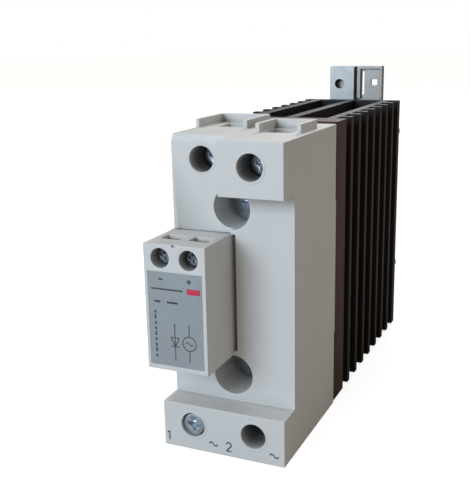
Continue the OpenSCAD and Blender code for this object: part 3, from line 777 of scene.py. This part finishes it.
def label_marks():
    """Polarity signs and a plain input and output diagram on the control module's label."""
    lo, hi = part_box("control_label")
    face = lo.y + PRINT
    left = lo.x
    sign_z = hi.z - 2.4 * MM
    sign_size = 2 * MM
    minus_x, plus_x = middle("control_left_screw").x, middle("control_right_screw").x
    thick = [moved(stroke, minus_x, sign_z, sign_size) for stroke in MINUS]
    thick += [moved(stroke, plus_x, sign_z, sign_size) for stroke in PLUS]
    lens = middle("status_light_pipe")
    thick.append([(left + 1.2 * MM, lens.z), (low("status_light_pipe").x - 1.6 * MM, lens.z)])
    ink("label_signs", thick, 0.27 * MM, face, "control_module")

    diode_x = left + 9.3 * MM
    source_x = left + 14.5 * MM
    z = lo.z + 8.6 * MM
    half = 1.5 * MM
    radius = 2.4 * MM
    reach = 6.4 * MM
    fine = [[(diode_x, z - reach), (diode_x, z + reach)],
            [(diode_x - half, z + half), (diode_x + half, z + half), (diode_x, z - half),
             (diode_x - half, z + half)],
            [(diode_x - half, z - half), (diode_x + half, z - half)],
            ring(source_x, z, radius),
            [(source_x, z + radius), (source_x, z + reach)],
            [(source_x, z - reach), (source_x, z - radius)]]
    fine += [moved(stroke, source_x, z, 2.6 * MM) for stroke in WAVE]
    ink("label_diagram", fine, 0.17 * MM, face, "control_module")

    dashes = []
    column_x = left + 2.4 * MM
    for i in range(9):
        start = lo.z + 2.6 * MM + i * 1.9 * MM
        length = (1 + 0.4 * (i % 3 == 1)) * MM
        dashes.append([(column_x, start), (column_x, start + length)])
    row_z = lens.z - 4.3 * MM
    for start, length in ((2.2, 2.2), (6.8, 4)):
        dashes.append([(left + start * MM, row_z), (left + (start + length) * MM, row_z)])
    ink("label_dashes", dashes, 0.34 * MM, face, "control_module")


place_marks()
label_marks()


# ---------- trigger circuit ----------

def solder_joints(bm, points, face, towards, radius=0.7 * MM):
    """Small cones of solder on a board's face."""
    outline = [(0, radius), (0.25 * MM, radius * 0.75), (0.7 * MM, radius * 0.3),
               (0.8 * MM, radius * 0.1)]
    for x, z in points:
        revolve(bm, outline, (x, face, z), (0, towards, 0), steps=12)


def board_parts(node):
    """Solder joints and small surface-mounted parts on the front of a board."""
    lo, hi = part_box(node)
    body = NODES[node]["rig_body"]
    across = [lo.x + (hi.x - lo.x) * share for share in (0.12, 0.3, 0.7, 0.88)]
    up = [lo.z + (hi.z - lo.z) * share for share in (0.08, 0.36, 0.64)]
    joints = [(x, z) for x in across for z in up]
    bm = bmesh.new()
    solder_joints(bm, joints, lo.y + 0.05 * MM, -1, radius=0.45 * MM)
    add_piece(node + "_solder", bm, body, SLOTS["gate_pins"], SOLDER)
    half_width, height, proud, sunk = 1 * MM, 1.2 * MM, 0.55 * MM, 0.02 * MM
    bm = bmesh.new()
    for i, x in enumerate(across):
        z = lo.z + (hi.z - lo.z) * (0.2 + 0.12 * (i % 2))
        block(bm, (x - half_width, lo.y - proud, z), (x + half_width, lo.y + sunk, z + height))
    slot = SLOTS["control_socket"]
    add_piece(node + "_chips", bm, body, slot, FINISH["black_plastic"], bevel=0.1, segments=2)


dress("trigger_board", 0.1)
board_parts("trigger_board")
dress("control_board", 0.1)
dress("control_socket")
for node in ("gate_pins", "plug_pins", "control_contacts"):
    dress(node, 0.08)


def coupler_legs():
    """Bent legs down both long sides of the optocoupler."""
    lo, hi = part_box("optocoupler")
    half, shoulder, foot = 0.15 * MM, 0.6 * MM, 0.35 * MM
    legs = 3
    bm = bmesh.new()
    y = (lo.y + hi.y) / 2
    for i in range(legs):
        z = lo.z + (hi.z - lo.z) * (i + 0.5) / legs
        for x, out in ((lo.x, -1), (hi.x, 1)):
            reach = x + out * 1.1 * MM
            block(bm, (min(x, reach), y - half, z - shoulder),
                  (max(x, reach), y + half, z + shoulder))
            block(bm, (reach - half, lo.y - 0.02 * MM, z - foot), (reach + half, y, z + foot))
    add_piece("optocoupler_legs", bm, "relay", "gold_contact", SOLDER, bevel=0.06, segments=2)


# A resistor's outline: (share of its length, share of its radius).
RESISTOR = [(0, 0.45), (0.03, 0.8), (0.09, 1), (0.2, 1), (0.26, 0.86), (0.5, 0.84),
            (0.74, 0.86), (0.8, 1), (0.91, 1), (0.97, 0.8), (1, 0.45)]


def bent_lead(bm, x, y, z, out, radius):
    """Wire out of a part's end, round a bend and down into the trigger board. out is 1 or -1."""
    inside, straight, bend = 0.3 * MM, 0.6 * MM, 0.5 * MM
    path = [(x - out * inside, y, z), (x + out * straight, y, z)]
    for angle in (math.pi / 8, math.pi / 4, 3 * math.pi / 8, math.pi / 2):
        path.append((x + out * (straight + bend * math.sin(angle)),
                     y - bend * (1 - math.cos(angle)), z))
    path.append((x + out * (straight + bend), high("trigger_board").y - 0.2 * MM, z))
    tube(bm, path, radius)


def axial(node, count, radius, wire, bands=()):
    """Resistors of one node, at heights of their own: waisted bodies on bent wires."""
    lo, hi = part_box(node)
    groups = [[] for _ in range(count)]
    for vert in NODES[node].data.vertices:
        level = int((vert.co.z - lo.z) / (hi.z - lo.z) * count)
        groups[min(level, count - 1)].append(vert.co)
    bodies = bmesh.new()
    leads = bmesh.new()
    stripes = [bmesh.new() for _ in bands]
    waist = radius * 0.86
    for group in groups:
        (x0, x1), (y0, y1), (z0, z1) = ((min(axis), max(axis)) for axis in zip(*group))
        y, z = (y0 + y1) / 2, (z0 + z1) / 2
        span = x1 - x0
        turned = {"centre": (x0, y, z), "axis": (1, 0, 0), "steps": 24}
        revolve(bodies, [(share * span, r * radius) for share, r in RESISTOR], **turned)
        for x, out in ((x0, -1), (x1, 1)):
            bent_lead(leads, x, y, z, out, wire)
        for i, stripe in enumerate(stripes):
            start = span * (0.32 + 0.14 * i)
            revolve(stripe, [(start, waist), (start + 0.06 * span, waist)], **turned)
    stand_in(node, bodies)
    add_piece(node + "_leads", leads, "relay", "gold_contact", SOLDER)
    for stripe, material in zip(stripes, bands):
        add_piece(node + "_" + material.name, stripe, "relay", SLOTS[node], material)


def radial_leads(node, half_pitch, below=0.0, wire=0.35 * MM):
    """Two straight leads from a part down into the trigger board, so far below its middle."""
    part = middle(node)
    points = [(part.x + side * half_pitch, part.z - below) for side in (-1, 1)]
    board_front, board_back = low("trigger_board").y, high("trigger_board").y
    bm = bmesh.new()
    for x, z in points:
        tube(bm, [(x, board_front - 0.5 * MM, z), (x, board_back + 1 * MM, z)], wire)
    solder_joints(bm, points, board_front + 0.02 * MM, -1)
    add_piece(node + "_leads", bm, "relay", "gold_contact", SOLDER)


dress("optocoupler", 0.3, 3)
coupler_legs()
axial("gate_resistors", count=2, radius=1.25 * MM, wire=0.28 * MM, bands=BANDS)
axial("snubber_resistor", count=1, radius=2.25 * MM, wire=0.35 * MM)
dress("snubber_capacitor", 0.8, 4)
dress("varistor", 1.2, 4)
radial_leads("snubber_capacitor", 3.5 * MM)
radial_leads("varistor", 2.5 * MM, below=4.5 * MM)


# ---------- control module ----------

def label():
    """The label film, thinned so that its print ends flush with the module's front."""
    bm = cad_mesh("control_label")
    front = low("control_label").y
    for vert in bm.verts:
        if vert.co.y < front + 0.01 * MM:
            vert.co.y = front + PRINT
    stand_in("control_label", bm, bevel=0.08, segments=1)


dress("control_housing", rejoin=False)
dress("control_cover", 0.2)
label()
dress("status_light_pipe", 0.12)
dress("status_led", 0.1)
dress("control_cages")


# ---------- rail bracket ----------

dress("din_bracket")
dress("din_latch", 0.25, 3)


def spring():
    """Compression spring with closed end coils."""
    lo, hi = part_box("latch_spring")
    wire = 0.3 * MM
    x, y = (lo.x + hi.x) / 2, (lo.y + hi.y) / 2
    radius = (hi.x - lo.x) / 2 - wire
    turns = 11
    steps = 26
    bottom, top = lo.z + wire, hi.z - wire
    path = []
    closed = 2 * wire / (top - bottom)
    for i in range(turns * steps + 1):
        turn = i / (turns * steps) * turns
        rise = min(turn, 1) * closed
        rise += max(0, min(turn - 1, turns - 2)) / (turns - 2) * (1 - 2 * closed)
        rise += max(0, turn - turns + 1) * closed
        angle = 2 * math.pi * turn
        path.append((x + radius * math.cos(angle), y + radius * math.sin(angle),
                     bottom + rise * (top - bottom)))
    bm = bmesh.new()
    tube(bm, path, wire)
    made = stand_in("latch_spring", bm)
    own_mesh(made)


spring()


# ---------- floor, light and camera ----------

def make_floor():
    """Wide pale disc just under the object. A glow that only the camera sees keeps it pale."""
    just_under = Matrix.Translation((0, 0, -0.1 * MM))
    bm = bmesh.new()
    bmesh.ops.create_circle(bm, cap_ends=True, segments=96, radius=6, matrix=just_under)
    mesh = bpy.data.meshes.new("floor")
    bm.to_mesh(mesh)
    bm.free()
    made, tree, shader = new_material("floor")
    shader.inputs["Base Color"].default_value = (0.36, 0.34, 0.32, 1)
    shader.inputs["Roughness"].default_value = 0.9
    shader.inputs["Specular IOR Level"].default_value = 0.1
    shader.inputs["Emission Color"].default_value = (0.985, 0.99, 1, 1)
    ray = tree.nodes.new("ShaderNodeLightPath")
    glow = spread(tree, ray.outputs["Is Camera Ray"], 0, 0.86, low_from=0, high_from=1)
    tree.links.new(glow, shader.inputs["Emission Strength"])
    mesh.materials.append(made)
    put_in_scene("floor", mesh)


def make_world():
    """Even warm fill light, with a pale backdrop for the camera."""
    world = bpy.data.worlds.new("studio")
    SCENE.world = world
    world.use_nodes = True
    tree = world.node_tree
    fill = tree.nodes["Background"]
    fill.inputs["Color"].default_value = (1, 0.88, 0.75, 1)
    fill.inputs["Strength"].default_value = 0.44
    backdrop = tree.nodes.new("ShaderNodeBackground")
    backdrop.inputs["Color"].default_value = (1, 1, 1, 1)
    ray = tree.nodes.new("ShaderNodeLightPath")
    choose = tree.nodes.new("ShaderNodeMixShader")
    otherwise, seen = choose.inputs[1], choose.inputs[2]
    tree.links.new(ray.outputs["Is Camera Ray"], choose.inputs["Fac"])
    tree.links.new(fill.outputs["Background"], otherwise)
    tree.links.new(backdrop.outputs["Background"], seen)
    tree.links.new(choose.outputs["Shader"], tree.nodes["World Output"].inputs["Surface"])


def add_light(name, place, size, power, colour):
    """Square area light that shines from place to the object's middle."""
    aim = Vector((0, 0, 0.055))
    data = bpy.data.lights.new(name, "AREA")
    data.size = size
    data.energy = power
    data.color = colour
    made = put_in_scene(name, data)
    made.location = place
    made.rotation_euler = (aim - Vector(place)).to_track_quat("-Z", "Y").to_euler()


def make_camera():
    """Camera at the photograph's height and angle."""
    place = Vector((0.10914, -0.30278, 0.13952))
    aim = Vector((-0.02334, -0.01178, 0.05785))
    roll = math.radians(-1.141)
    data = bpy.data.cameras.new("camera")
    data.sensor_width = 36
    data.lens = 60.38
    data.clip_start = 0.01
    camera = put_in_scene("camera", data)
    turn = (aim - place).to_track_quat("-Z", "Y").to_matrix().to_4x4()
    camera.matrix_world = Matrix.Translation(place) @ turn @ Matrix.Rotation(roll, 4, "Z")
    SCENE.camera = camera


make_floor()
make_world()
add_light("key", (-0.45, -1.15, 0.5), size=0.65, power=11.8, colour=(0.72, 0.86, 1))
add_light("top", (-0.15, 0.1, 0.95), size=0.7, power=1.2, colour=(0.85, 0.95, 1))
add_light("back", (-0.06, 1.1, 0.8), size=0.6, power=7.5, colour=(0.9, 0.95, 1))
make_camera()
SCENE.view_settings.view_transform = "Standard"
